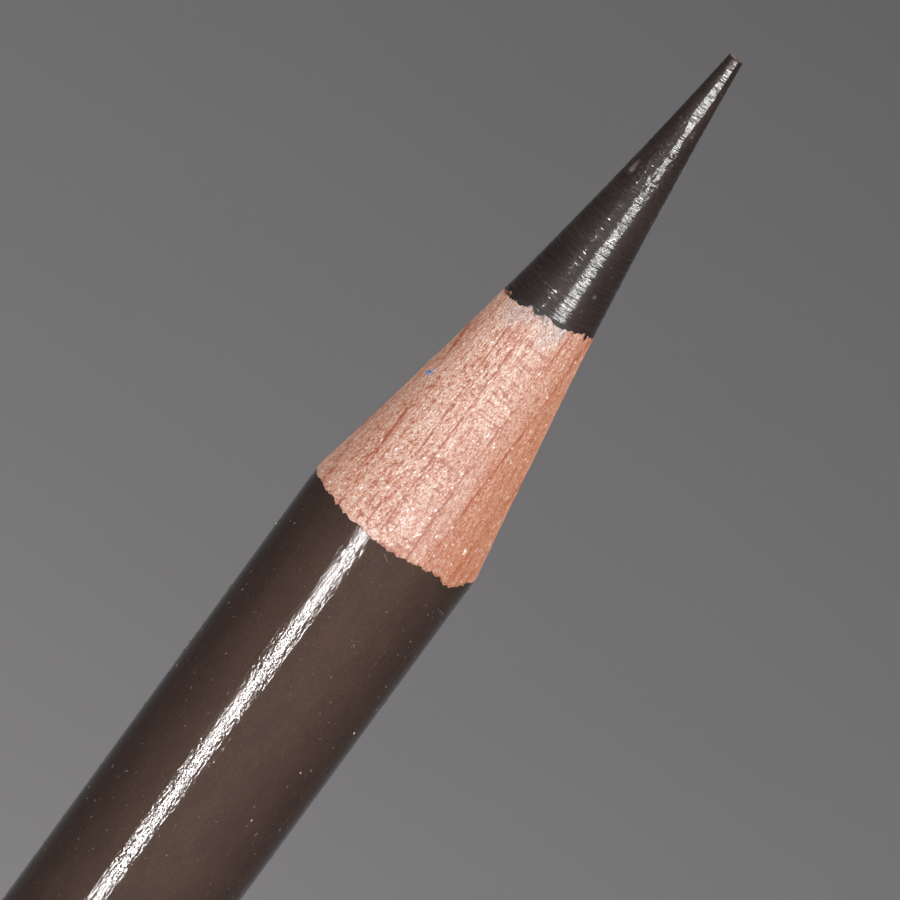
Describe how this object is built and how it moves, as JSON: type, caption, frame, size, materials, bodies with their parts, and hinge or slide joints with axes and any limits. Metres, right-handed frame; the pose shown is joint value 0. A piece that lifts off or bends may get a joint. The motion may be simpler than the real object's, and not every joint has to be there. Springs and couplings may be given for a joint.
{
  "type": "round wood-cased artists' pencil, sharpened",
  "caption": "Round cedar-cased artists' pencil with a dark pigment core, sharpened to a long hollow-ground point, under glossy dark sepia lacquer with a dipped end.",
  "frame": {"origin": "centre of the flat face of the dipped end, on the barrel axis", "axes": "+Z along the barrel axis from the dipped end to the point; +X in the seam plane between the casing halves; -Y is the front casing half"},
  "size_m": [0.0078, 0.0078, 0.175],
  "materials": {
    "pigment": "dense wax-bound pigment, burnished by the sharpener, with fine turning scratches",
    "cedar": "freshly cut reddish cedar, open grain with short fibres",
    "glue": "dried white glue, faintly amber",
    "primer": "matt brown filler coat",
    "lacquer": "opaque dark sepia lacquer, high gloss with fine ripples along the barrel",
    "dip_lacquer": "thick glossy dip lacquer, dark sepia"
  },
  "bodies": {
    "root": {"core": "pigment", "core_bond": "glue", "casing_half_front": "cedar", "casing_half_back": "cedar", "glue_line_left": "glue", "glue_line_right": "glue", "primer_coat": "primer", "lacquer_coat": "lacquer", "end_dip": "dip_lacquer"}
  },
  "joints": []
}
